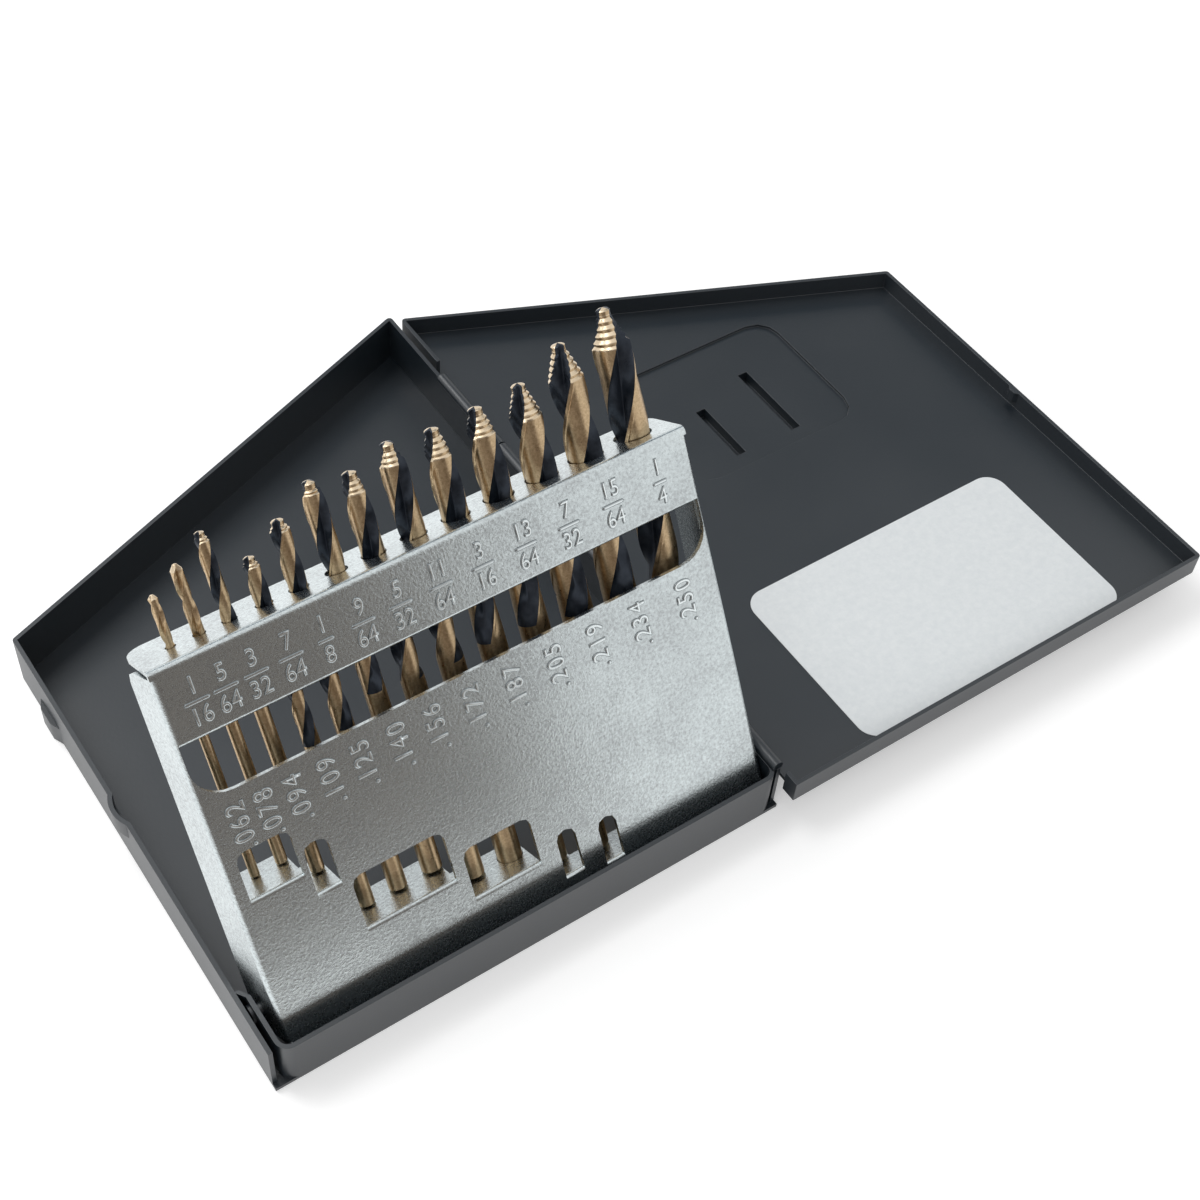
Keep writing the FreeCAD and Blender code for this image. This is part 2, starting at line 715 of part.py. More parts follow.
def make_rivets():
    """The two rivets that the insert swings on, held by the ears: headed left, flush right."""
    body = new_body("insert_rivets")
    slack = "running_clearance"
    near_depth = "(%s - rivet_head_radius - bend_radius)" % PIVOT_BACK
    left_lug = "-insert_left - %s * tan(left_splay * 1 deg) + steel + %s" % (near_depth, slack)
    right_lug = "-insert_right - steel - rivet_head - " + slack
    left_head = "-front_left - rivet_head - " + slack
    for side, start, end in (
        ("left", left_head, left_lug + " + rivet_head"),
        ("right", right_lug, "-front_right"),
    ):
        place = (start, "pivot_y", "pivot_z")
        rod(body, side + "_shank", place, "rivet_radius", "(%s) - (%s)" % (end, start), "x")
    for name, x in (("left_head", left_head), ("left_tail", left_lug), ("right_tail", right_lug)):
        rod(body, name, (x, "pivot_y", "pivot_z"), "rivet_head_radius", "rivet_head", "x")
    return body


def make_drill(name):
    """One drill: a round body with a stepped point, standing in the insert."""
    body = new_body(name)
    radius = "%s_diameter / 2" % name
    shoulder = "(%s_point - %s - %f * %s_diameter)" % (name, seat_height(name), POINT_TIP_SHARE, name)
    outline = [("0", "0"), (radius, "0")]
    for index, (width, rise) in enumerate(POINT_STEP_SHARES):
        height = "%s + %f * %s_diameter" % (shoulder, rise, name)
        if index:
            last = POINT_STEP_SHARES[index - 1][0]
            outline.append(("%f * %s" % (last, radius), height))
        outline.append(("%f * %s" % (width, radius), height))
    outline.append(("0", "%s_point - %s" % (name, seat_height(name))))
    outline = [point for index, point in enumerate(outline) if index == 0 or point != outline[index - 1]]
    sketch = draw(sketch_on(body, "XY_Plane", name + "_profile"), outline)
    feature = body.newObject("PartDesign::Revolution", name + "_round")
    feature.Profile = sketch
    feature.ReferenceAxis = (sketch, ["V_Axis"])
    feature.Angle = 360
    doc.recompute()
    place = FreeCAD.Vector(-number(name + "_place"), number(seat_height(name)), -number("drill_depth"))
    body.Placement = INSERT_FRAME.multiply(FreeCAD.Placement(place, FreeCAD.Rotation()))
    return body


def build():
    bodies = [make_base_tray(), make_lid_tray(), make_hinge_pin(), make_label()]
    bodies += [make_insert(), make_rivets()]
    bodies += [make_drill(name) for name, diameter, place, point in DRILLS]
    return bodies


def check(bodies):
    """Every object must have recomputed, and every piece must be a sound solid."""
    for item in doc.Objects:
        if "Invalid" in item.State or "Error" in item.State:
            raise RuntimeError("%s failed: %s" % (item.Label, item.State))
    for body in bodies:
        shape = body.Shape
        if shape.isNull() or not shape.isValid() or not shape.Solids:
            raise RuntimeError("%s has no sound shape" % body.Label)
        print("%-14s solids %d volume %9.2f" % (body.Label, len(shape.Solids), shape.Volume))


pieces = build()
doc.recompute()
check(pieces)
os.makedirs("parts", exist_ok=True)
for piece in pieces:
    piece.Shape.exportStep("parts/%s.step" % piece.Label)
print("axis height", number(HINGE_Z), "pivot", number(PIVOT_UP), number(PIVOT_BACK))
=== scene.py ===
# %% [markdown]
# An open drill case of folded sheet steel, with an insert that holds thirteen drills. The exact
# pieces come from the packed model. This file gives them their finishes, and makes the parts whose
# beauty is in small curves: the spiral drills, the raised size numbers and the label's face.

# %% Load the fixed frame
import math

import bmesh
import bpy
import numpy as np
from mathutils import Matrix, Vector


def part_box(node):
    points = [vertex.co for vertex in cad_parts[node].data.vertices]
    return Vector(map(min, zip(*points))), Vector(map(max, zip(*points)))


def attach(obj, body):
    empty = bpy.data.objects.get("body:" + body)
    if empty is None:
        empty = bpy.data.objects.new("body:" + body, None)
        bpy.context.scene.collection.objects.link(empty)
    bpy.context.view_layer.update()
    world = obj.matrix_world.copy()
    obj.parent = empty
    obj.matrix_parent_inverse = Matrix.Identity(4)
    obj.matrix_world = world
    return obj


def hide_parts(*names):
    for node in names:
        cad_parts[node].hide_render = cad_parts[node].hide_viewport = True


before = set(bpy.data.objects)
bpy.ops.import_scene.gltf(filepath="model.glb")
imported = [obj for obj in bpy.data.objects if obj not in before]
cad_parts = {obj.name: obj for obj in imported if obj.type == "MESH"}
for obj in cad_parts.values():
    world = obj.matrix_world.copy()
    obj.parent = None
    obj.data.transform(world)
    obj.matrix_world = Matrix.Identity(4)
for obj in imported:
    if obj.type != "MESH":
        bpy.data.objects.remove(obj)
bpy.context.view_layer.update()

MM = 0.001
scene_collection = bpy.context.scene.collection

# %% [markdown]
# The camera stands where the picture was taken from. Its place and turn were found by fitting the
# straight edges of the two trays, so the renders line up with the picture edge for edge.

# %% Camera
CAMERA_PLACE = (-147.63, -130.69, 291.80)
CAMERA_RIGHT = Vector((0.82423921, -0.56329722, 0.05767117))
CAMERA_VIEW = Vector((0.39281533, 0.49546502, -0.77473256))
CAMERA_LENS = 58.457
CAMERA_SENSOR = 36.0
NEAREST_SEEN = 10.0

camera_data = bpy.data.cameras.new("camera")
camera_data.lens = CAMERA_LENS
camera_data.sensor_width = CAMERA_SENSOR
camera_data.clip_start = NEAREST_SEEN * MM
camera = bpy.data.objects.new("camera", camera_data)
camera_up = CAMERA_RIGHT.cross(CAMERA_VIEW)
camera_turn = Matrix((CAMERA_RIGHT, camera_up, -CAMERA_VIEW)).transposed().to_4x4()
camera.matrix_world = Matrix.Translation(Vector(CAMERA_PLACE) * MM) @ camera_turn
scene_collection.objects.link(camera)
bpy.context.scene.camera = camera
print("camera at", CAMERA_PLACE, "mm")

# %% [markdown]
# Every new surface is a grid of points: rows and columns of a formula in two parameters. One helper
# numbers the quads of such a grid, closing it round when asked, and the other makes it a mesh.


# %% From arrays to meshes
def grid_faces(rows, columns, wrap_columns=False):
    """Corner numbers of the quads between neighbouring rows and columns of a grid.

    The corner at a row and a column has the number row * columns + column."""
    last = columns if wrap_columns else columns - 1
    row, column = np.meshgrid(np.arange(rows - 1), np.arange(last), indexing="ij")
    after = (column + 1) % columns
    corners = (row * columns + column, row * columns + after)
    corners += ((row + 1) * columns + after, (row + 1) * columns + column)
    return np.stack(corners, axis=-1).reshape(-1, 4)


def mesh_piece(name, points, faces, materials, face_slots=None):
    """A smooth mesh object in metres from points in millimetres and lists of corners."""
    mesh = bpy.data.meshes.new(name)
    mesh.from_pydata((np.asarray(points) * MM).tolist(), [], [list(map(int, f)) for f in faces])
    for material in materials:
        mesh.materials.append(material)
    if face_slots is not None:
        mesh.polygons.foreach_set("material_index", np.asarray(face_slots, dtype=np.int32))
    mesh.polygons.foreach_set("use_smooth", np.full(len(mesh.polygons), True))
    mesh.validate()
    mesh.update()
    piece = bpy.data.objects.new(name, mesh)
    scene_collection.objects.link(piece)
    return piece


print("a grid of 3 by 3 points has", len(grid_faces(3, 3)), "faces")

# %% [markdown]
# A grid's ends leave doubled points at its poles. Merging them closes the surface, and then the
# faces can all be turned outwards. Edges that bend sharply are marked, so the shading breaks there.

# %% Closing a surface
DOUBLE_GAP = 0.0001
CREASE_ANGLE = math.radians(35)


def recalculate(piece):
    """Merges doubled points, turns all faces outwards and marks the creases as sharp."""
    mesh = bmesh.new()
    mesh.from_mesh(piece.data)
    bmesh.ops.remove_doubles(mesh, verts=mesh.verts, dist=DOUBLE_GAP * MM)
    bmesh.ops.recalc_face_normals(mesh, faces=mesh.faces)
    for line in mesh.edges:
        line.smooth = line.calc_face_angle(0.0) < CREASE_ANGLE
    mesh.to_mesh(piece.data)
    mesh.free()


print("creases start at", round(math.degrees(CREASE_ANGLE)), "degrees")

# %% [markdown]
# Finishes are built from nodes on Object coordinates, which are metres here, so a scale of 400 is a
# pattern about 2.5 mm wide. A small toolbox keeps each finish to a few readable lines.


# %% Node toolbox
class Finish:
    """A material with its shader and short words for the nodes that feed it."""

    def __init__(self, name, **values):
        self.material = bpy.data.materials.new(name)
        self.material.use_nodes = True
        self.nodes = self.material.node_tree.nodes
        self.links = self.material.node_tree.links
        self.shader = self.nodes["Principled BSDF"]
        for socket, value in values.items():
            self.shader.inputs[socket.replace("_", " ")].default_value = value
        self.place = self.nodes.new("ShaderNodeTexCoord").outputs["Object"]

    def along(self, direction):
        """How far a point lies along a direction: x * dx + y * dy + z * dz, in metres."""
        node = self.nodes.new("ShaderNodeVectorMath")
        node.operation = "DOT_PRODUCT"
        node.inputs[1].default_value = direction
        self.links.new(self.place, node.inputs[0])
        return node.outputs["Value"]

    def noise(self, scale, detail=3.0, roughness=0.55):
        """Soft random spots, from 0 to 1: so many to the metre, with finer ones on top."""
        node = self.nodes.new("ShaderNodeTexNoise")
        node.inputs["Scale"].default_value = scale
        node.inputs["Detail"].default_value = detail
        node.inputs["Roughness"].default_value = roughness
        self.links.new(self.place, node.inputs["Vector"])
        return node.outputs["Fac"]

    def ramp(self, value, *stops):
        """Colours by place along the value: each stop is a place and a colour."""
        node = self.nodes.new("ShaderNodeValToRGB")
        elements = node.color_ramp.elements
        while len(elements) < len(stops):
            elements.new(0.5)
        for element, (place, colour) in zip(elements, stops):
            element.position = place
            element.color = (*colour, 1.0)
        self.links.new(value, node.inputs["Fac"])
        return node.outputs["Color"]

    def math(self, operation, first, second):
        """A sum, product or the like of a value with another value or a number."""
        node = self.nodes.new("ShaderNodeMath")
        node.operation = operation
        for socket, value in zip(node.inputs, (first, second)):
            if isinstance(value, (int, float)):
                socket.default_value = value
            else:
                self.links.new(value, socket)
        return node.outputs["Value"]

    def relief(self, height, strength, distance):
        """Small bumps whose height follows a value; the distance is in metres."""
        node = self.nodes.new("ShaderNodeBump")
        node.inputs["Strength"].default_value = strength
        node.inputs["Distance"].default_value = distance
        self.links.new(height, node.inputs["Height"])
        self.links.new(node.outputs["Normal"], self.shader.inputs["Normal"])

    def set(self, socket, value):
        """Feeds one of the shader's inputs."""
        self.links.new(value, self.shader.inputs[socket])


def grey(value):
    """A colour with the same red, green and blue."""
    return (value, value, value)


print("toolbox:", ", ".join(word for word in vars(Finish) if not word.startswith("_")))

# %% [markdown]
# The trays are cold-rolled sheet under a satin black enamel. Enamel is a dark base with a soft
# specular layer. Two noises do the work: a fine one is the slight orange peel of the sprayed film,
# and a broad faint one makes the gloss uneven, as a worn satin film is.

# %% Satin black enamel
enamel = Finish("satin_black_enamel", Metallic=0.0, Specular_IOR_Level=0.85)
broad = enamel.noise(18.0, 4.0)
enamel_colours = ((0.3, (0.0070, 0.0115, 0.0165)), (0.75, (0.0110, 0.0160, 0.0210)))
enamel.set("Base Color", enamel.ramp(broad, *enamel_colours))
enamel.set("Roughness", enamel.ramp(broad, (0.3, grey(0.34)), (0.7, grey(0.42))))
enamel.relief(enamel.noise(1500.0, 2.0), strength=0.12, distance=0.0001)
black_enamel = enamel.material
print("made", black_enamel.name)

# %% [markdown]
# The insert is zinc-coated sheet. It mirrors its surroundings softly, and its surface is a fine grey
# mottle of small crystals, about half a millimetre across. The mottle changes the grey, the
# roughness and the slope together, because that is what makes metal look like metal.

# %% Zinc-coated sheet
zinc = Finish("zinc_sheet", Metallic=1.0)
mottle = zinc.noise(2000.0, 3.0, 0.65)
cloud = zinc.noise(90.0, 4.0, 0.6)
both = zinc.math("ADD", zinc.math("MULTIPLY", mottle, 0.7), zinc.math("MULTIPLY", cloud, 0.3))
zinc_colours = ((0.37, (0.45, 0.48, 0.49)), (0.50, (0.57, 0.62, 0.63)), (0.63, (0.66, 0.72, 0.73)))
zinc.set("Base Color", zinc.ramp(both, *zinc_colours))
zinc.set("Roughness", zinc.ramp(both, (0.36, grey(0.30)), (0.64, grey(0.22))))
zinc.relief(mottle, strength=0.50, distance=0.00008)
zinc_sheet = zinc.material
print("made", zinc_sheet.name)

# %% [markdown]
# The insert leans over the front wall. Whatever sits on it is placed in the insert's own terms:
# how far along the face, how far up it from the rim line, and how far out of it.

# %% The insert's own coordinates
INSERT_TILT = math.radians(60.8)
RIM_Y, RIM_Z = 4.5, 11.0


def on_insert(x, up, out):
    """Insert coordinates to the frame, in millimetres.

    y = rim + up * cos(tilt) - out * sin(tilt), and z = rim + up * sin(tilt) + out * cos(tilt)."""
    y = RIM_Y + up * math.cos(INSERT_TILT) - out * math.sin(INSERT_TILT)
    z = RIM_Z + up * math.sin(INSERT_TILT) + out * math.cos(INSERT_TILT)
    return np.stack(np.broadcast_arrays(x, y, z), axis=-1)


print("insert leans", round(math.degrees(INSERT_TILT), 1), "degrees")

# %% [markdown]
# The raised numbers are the same zinc, with painted shade down their flanks and a painted highlight on
# top. A point's height above the face says which: its distance along the face's normal, less that of
# the face, as a share of the numbers' height.

# %% Raised zinc
NUMBER_RELIEF = 0.24
face_normal = (0.0, -math.sin(INSERT_TILT), math.cos(INSERT_TILT))
face_distance = (RIM_Z * math.cos(INSERT_TILT) - RIM_Y * math.sin(INSERT_TILT)) * MM

raised = Finish("zinc_raised", Metallic=1.0, Roughness=0.26)
height_above = raised.math("SUBTRACT", raised.along(face_normal), face_distance)
height_share = raised.math("DIVIDE", height_above, NUMBER_RELIEF * MM)
# painted shade low on the flanks of the strokes, painted highlight at their tops
flank_shade_top_highlight = ((0.60, (0.25, 0.27, 0.28)), (0.93, (0.46, 0.50, 0.51)), (0.99, (0.84, 0.90, 0.91)))
raised.set("Base Color", raised.ramp(height_share, *flank_shade_top_highlight))
zinc_raised = raised.material
print("made", zinc_raised.name)

# %% [markdown]
# The drills are tool steel. The lands and shanks are ground and then tempered to a bronze straw colour.
# The bevels of the point's steps get a lighter bronze, a painted highlight for the light they catch.
# Grinding leaves a fine grain, which is a small noise in the colour and the slope.

# %% Bronze lands and bright steps
bronze = Finish("bronze_land", Metallic=1.0)
straw = bronze.noise(2600.0, 3.0, 0.7)
bronze.set("Base Color", bronze.ramp(straw, (0.3, (0.40, 0.285, 0.165)), (0.7, (0.63, 0.475, 0.295))))
bronze.set("Roughness", bronze.ramp(bronze.noise(900.0), (0.3, grey(0.27)), (0.7, grey(0.38))))
bronze.relief(straw, strength=0.24, distance=0.00005)
bronze_land = bronze.material

# Painted highlight: the bevels of the stepped point get a lighter bronze for the light they catch.
bright = Finish("bevel_highlight", Metallic=1.0)
bright_colours = ((0.3, (0.60, 0.48, 0.33)), (0.7, (0.76, 0.63, 0.46)))
bright.set("Base Color", bright.ramp(bright.noise(700.0), *bright_colours))
bright.set("Roughness", bright.ramp(bright.noise(1800.0), (0.3, grey(0.25)), (0.7, grey(0.36))))
bevel_highlight = bright.material
print("made", bronze_land.name, "and", bevel_highlight.name)

# %% [markdown]
# The flutes keep their black oxide. It is a thin skin on metal, so the shader is only partly
# metallic, and sooty patches change its blue-black and its gloss.

# %% Black flutes
oxide = Finish("black_flute", Metallic=0.65)
soot = oxide.noise(500.0, 4.0)
oxide.set("Base Color", oxide.ramp(soot, (0.3, (0.012, 0.017, 0.026)), (0.7, (0.034, 0.042, 0.056))))
oxide.set("Roughness", oxide.ramp(soot, (0.3, grey(0.27)), (0.7, grey(0.38))))
oxide.relief(oxide.noise(2600.0, 2.0), strength=0.12, distance=0.00005)
black_flute = oxide.material
print("made", black_flute.name)

# %% [markdown]
# The drills repeat one recipe at thirteen sizes. Each row of this table is a drill: its place on
# the insert, how far its flutes are turned and how long they are, and its stepped point. The two
# smallest have plain points and are bronze all over.

# %% The thirteen drills
DRILL_DEPTH = 6.2

# name, diameter, distance left of the hinge, height of the shank end and of the point,
# turn of the lands in degrees, flute length, steps of the point, height of the stepped point
DRILLS = (
    ("drill_1_16", 1.588, 90.40, 22.55, 72.4, 60, 17.0, 0, 0.70),
    ("drill_5_64", 1.984, 85.75, 22.55, 75.4, 150, 20.0, 0, 1.10),
    ("drill_3_32", 2.381, 80.80, 18.15, 78.5, 52, 26.0, 2, 1.70),
    ("drill_7_64", 2.778, 75.05, 8.15, 71.8, 55, 33.0, 2, 1.75),
    ("drill_1_8", 3.175, 69.20, 8.15, 75.4, 27, 36.5, 2, 1.95),
    ("drill_9_64", 3.572, 62.80, 8.15, 79.0, 88, 36.5, 2, 2.05),
    ("drill_5_32", 3.969, 56.30, 3.20, 77.8, 58, 36.5, 3, 3.50),
    ("drill_11_64", 4.366, 49.20, -4.85, 79.7, 93, 38.5, 3, 3.60),
    ("drill_3_16", 4.763, 41.60, -1.85, 78.9, 54, 37.5, 4, 4.75),
    ("drill_13_64", 5.159, 33.70, -3.45, 79.2, 58, 38.0, 4, 4.60),
    ("drill_7_32", 5.556, 25.60, -4.85, 79.9, 31, 41.0, 5, 5.70),
    ("drill_15_64", 5.953, 17.15, -4.85, 83.4, 8, 45.0, 5, 6.10),
    ("drill_1_4", 6.350, 7.95, -4.85, 85.9, 101, 50.0, 5, 6.40),
)
print(len(DRILLS), "drills from", DRILLS[0][1], "to", DRILLS[-1][1], "mm")

# %% [markdown]
# A twist drill's cross-section is a circle with two flutes cut into it. Half of it is enough: a land
# that is ground back a little behind its cutting margin, and then a flute. Shares keep it the same
# at every size. The points stand closer together where the outline bends.

# %% Section of a drill
LAND_SHARE = 0.52
MARGIN_SHARE = 0.055
VALLEY_SHARE = 0.05
MARGIN_EDGE_SHARE = 0.45 * VALLEY_SHARE
WEB_SHARE = 0.26
RELIEF_SHARE = 0.915
RELIEF_RISE_SHARE = 0.06
HEEL_SHARE = 0.975
BOW_LEAN, BOW_FULLNESS = 0.8, 0.62


def eased(share):
    """A step with soft ends: share^2 * (3 - 2 * share)."""
    return share * share * (3 - 2 * share)


def section_places(on_land=12, on_valley=6, on_margin=5, on_flute=27):
    """Places round half a section, from 0 to 1, with so many points on each stretch."""
    body = np.linspace(0.0, LAND_SHARE - MARGIN_SHARE - VALLEY_SHARE, on_land, endpoint=False)
    valley = np.linspace(body[-1], LAND_SHARE - MARGIN_SHARE, on_valley)[1:]
    margin = np.linspace(valley[-1], LAND_SHARE, on_margin)[1:]
    turn = np.linspace(0, math.pi, on_flute)[1:-1]
    flute = LAND_SHARE + (1 - LAND_SHARE) * (1 - np.cos(turn)) / 2
    return np.concatenate([body, valley, margin, flute])


def section_radius(part):
    """Radius share at a place: one on the margin, less on the land behind it, least in the flute.

    The land is a shallow valley, relief + rise * way across it, with an eased step up to the
    margin. The flute is a leaning sine bow from the rim down to the web."""
    edge = LAND_SHARE - MARGIN_SHARE
    land = RELIEF_SHARE + RELIEF_RISE_SHARE * np.clip((edge - part) / edge, 0, 1)
    land = land + (1 - land) * eased(np.clip((part - edge) / MARGIN_EDGE_SHARE + 1, 0, 1))
    across = np.clip((part - LAND_SHARE) / (1 - LAND_SHARE), 0, 1)
    rim = 1.0 + (HEEL_SHARE - 1.0) * across
    bow = np.sin(math.pi * across**BOW_LEAN) ** BOW_FULLNESS
    return np.where(part <= LAND_SHARE, land, rim - (rim - WEB_SHARE) * bow)


print("half a section has", len(section_places()), "points")

# %% [markdown]
# The points are ground in steps, like a staircase turned round the axis: a small flat crown, and
# then one drum below another, each a little waisted, with a bevel out to the next width.

# %% Outline of the point
CROWN_WIDTH = 2.3
CROWN_WIDTH_SHARE = 0.62

# ways down from the tip, and radii, of a plain point and of a crown
PLAIN_POINT_SHARES = ((0.0, 0.0), (0.12, 0.34), (1.0, 1.0))
CROWN_SHARES = ((0.0, 0.0), (0.26, 0.80), (0.42, 1.0), (0.95, 0.96))

# a step's corners: way down the step, share of a width, and 0 for its own or 1 for the next
STEP_SHARES = ((0.14, 0.985, 0), (0.45, 0.955, 0), (0.90, 0.985, 1), (1.0, 1.0, 1))


def point_outline(diameter, steps, height):
    """Distances from the tip and radii of the point's corners: a crown, then steps to the body.

    The width below step n is crown + (body - crown) * n / steps."""
    full = diameter / 2
    if steps == 0:
        down, out = np.array(PLAIN_POINT_SHARES).T
        return down * height, out * full
    crown = min(CROWN_WIDTH, diameter * CROWN_WIDTH_SHARE) / 2
    places, radii = (list(shares * crown) for shares in np.array(CROWN_SHARES).T)
    top = places[-1]
    rise = (height - top) / steps
    for step in range(steps):
        widths = [crown + (full - crown) * level / steps for level in (step, step + 1)]
        for down, out, level in STEP_SHARES:
            places.append(top + rise * step + rise * down)
            radii.append(widths[level] * out)
    return np.array(places), np.array(radii)


largest_width, largest_steps, largest_height = (DRILLS[-1][column] for column in (1, 7, 8))
largest_corners, _ = point_outline(largest_width, largest_steps, largest_height)
print("the largest point has", len(largest_corners), "corners")

# %% [markdown]
# Going down from the point the section turns steadily, about once in seven or eight diameters. So
# the surface is a grid whose columns climb with the twist: each keeps to one place of the section,
# and the edges between land and flute come out clean. The rows stand closer at the point.

# %% One drill's surface
POINT_ROWS, ROWS_PER_STEP = 14, 18
LEAST_BODY_ROWS, BODY_ROWS_PER_DIAMETER = 50, 8
PITCH_SHARE, PITCH_LESS_PER_MM = 8.6, 0.25
RUNOUT_SHARE = 1.5
SHANK_BEVEL_SHARE = 0.12
SHANK_END_SHARE = 0.88


def pitch(diameter):
    """Length of one turn of the flutes; thick drills turn a little faster for their size."""
    return (PITCH_SHARE - PITCH_LESS_PER_MM * diameter) * diameter


def drill_rows(length, diameter, steps, height):
    """Distances from the tip of the grid's rows: all corners of the point, then even rows."""
    places, _ = point_outline(diameter, steps, height)
    even = np.linspace(0, height, POINT_ROWS + ROWS_PER_STEP * steps)
    count = max(LEAST_BODY_ROWS, int(length / diameter * BODY_ROWS_PER_DIAMETER))
    body = np.linspace(height, length, count)[1:]
    bevel = np.array([length - SHANK_BEVEL_SHARE * diameter])
    return np.unique(np.concatenate([np.unique(np.concatenate([places, even])), body, bevel]))


def drill_surface(diameter, length, turn_deg, flute_length, steps, height):
    """The grid's distances from the tip, places in the section, angles, radii and runout.

    angle = turn + pi * place in the section + 2 pi * distance / pitch. The radius is the
    section's, which fades into the round shank over the runout, and never past the outline."""
    half = section_places()
    part = np.concatenate([half, half])
    side = np.repeat([0.0, math.pi], len(half))
    down = drill_rows(length, diameter, steps, height)
    row, column = np.meshgrid(down, np.arange(len(part)), indexing="ij")
    turn = math.radians(turn_deg) - math.pi * LAND_SHARE / 2
    angle = turn + side[column] + math.pi * part[column] + 2 * math.pi * row / pitch(diameter)
    runout = eased(np.clip((flute_length - row) / (RUNOUT_SHARE * diameter), 0, 1))
    radius = diameter / 2 * (1 - (1 - section_radius(part))[column] * runout)
    radius = np.minimum(radius, np.interp(row, *point_outline(diameter, steps, height)))
    bevel = np.clip((length - row) / (SHANK_BEVEL_SHARE * diameter), 0.0, 1.0)
    radius = radius * (SHANK_END_SHARE + (1 - SHANK_END_SHARE) * bevel)
    radius[-1] = 0.0
    return row, part[column], angle, radius, runout


print("the largest drill turns once in", round(pitch(largest_width), 1), "mm")

# %% [markdown]
# The finish follows the grid: black where a face lies in a flute, a lighter bronze as painted highlight
# on the bevels of the stepped point, and bronze elsewhere. Each drill then takes the place of its plain
# model.

# %% Build the thirteen drills
BRONZE_SLOT, BLACK_SLOT, BRIGHT_SLOT = 0, 1, 2
FLUTE_OVERLAP_SHARE = 0.004
FADED_RUNOUT = 0.03
BEVEL_SLOPE = 0.12
POINT_MARGIN = 1e-6


def drill_slots(row, part, runout, diameter, steps, height):
    """Which finish each point of the grid starts; a bevel is where the outline widens fast."""
    down = row[:, 0]
    dark = (part > LAND_SHARE - FLUTE_OVERLAP_SHARE) & (runout > FADED_RUNOUT) & (steps > 0)
    slope = np.gradient(np.interp(down, *point_outline(diameter, steps, height)), down)
    # the bevels take the lighter bronze that paints their highlight
    bevelled = (row < height - POINT_MARGIN) & (slope[:, None] > BEVEL_SLOPE)
    return np.where(dark, BLACK_SLOT, np.where(bevelled, BRIGHT_SLOT, BRONZE_SLOT))


def make_drill(name, diameter, place, seat, tip, turn_deg, flute_length, steps, height):
    """One drill on the insert: its surface wrapped round an axis that runs down from the tip."""
    surface = drill_surface(diameter, tip - seat, turn_deg, flute_length, steps, height)
    row, part, angle, radius, runout = surface
    across = -place + radius * np.cos(angle)
    points = on_insert(across, tip - row, -DRILL_DEPTH + radius * np.sin(angle))
    faces = grid_faces(*row.shape, wrap_columns=True)
    slots = drill_slots(row, part, runout, diameter, steps, height)[:-1]
    materials = (bronze_land, black_flute, bevel_highlight)
    piece = mesh_piece(name + "_twist", points.reshape(-1, 3), faces, materials, slots.ravel())
    recalculate(piece)
    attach(piece, name)
    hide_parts(name)
    return piece


for drill in DRILLS:
    made = make_drill(*drill)
    print(made.name, len(made.data.polygons), "faces")

# %% [markdown]
# The sheets come from the exact model. Folded metal never has knife edges, though, and it is the
# thin bright line along an edge that tells the eye so. The loose triangles are welded, flat ones
# joined, and a small bevel rolls every edge.

# %% Soft edges on the folded sheets
WELD_GAP = 0.01
FLAT_ANGLE = math.radians(0.6)
EDGE_ANGLE = math.radians(32)
EDGE_SEGMENTS = 3
TRAY_EDGE, INSERT_EDGE = 0.28, 0.30


def soften(node, width):
    """Welds a node's triangles, joins flat ones and rounds its edges by a width in millimetres.

    A point's shading follows the widest face that it touches, so the flats stay flat."""
    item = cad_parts[node]
    weld = item.modifiers.new("weld", "WELD")
    weld.merge_threshold = WELD_GAP * MM
    flat = item.modifiers.new("flat", "DECIMATE")
    flat.decimate_type = "DISSOLVE"
    flat.angle_limit = FLAT_ANGLE
    bevel = item.modifiers.new("edge", "BEVEL")
    bevel.width = width * MM
    bevel.segments = EDGE_SEGMENTS
    bevel.limit_method = "ANGLE"
    bevel.angle_limit = EDGE_ANGLE
    bevel.harden_normals = False
    even = item.modifiers.new("even", "WEIGHTED_NORMAL")
    even.mode = "FACE_AREA"
    even.weight = 100
    even.keep_sharp = True
    item.data.polygons.foreach_set("use_smooth", np.full(len(item.data.polygons), True))


def dress(node, material):
    """Gives a node of the model its finish."""
    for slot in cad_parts[node].material_slots:
        slot.material = material


for node in ("base_tray", "lid_tray", "hinge_pin", "insert_rivets"):
    dress(node, black_enamel)
dress("insert_panel", zinc_sheet)
for node in ("base_tray", "lid_tray"):
    soften(node, TRAY_EDGE)
soften("insert_panel", INSERT_EDGE)
print("edges rounded by", TRAY_EDGE, "and", INSERT_EDGE, "mm")

# %% [markdown]
# Each hole has its size pressed beside it, as a fraction above the window and as a decimal below.
# They are raised from behind, so their strokes are round and soft. A text object with a round bevel
# gives such strokes, and its mesh is then laid on the face.

# %% Raised text
LETTER_BOX_SHARE = 1.38
STROKE_INSET = 0.10
STROKE_ROUNDNESS, LETTER_ROUNDNESS = 2, 6


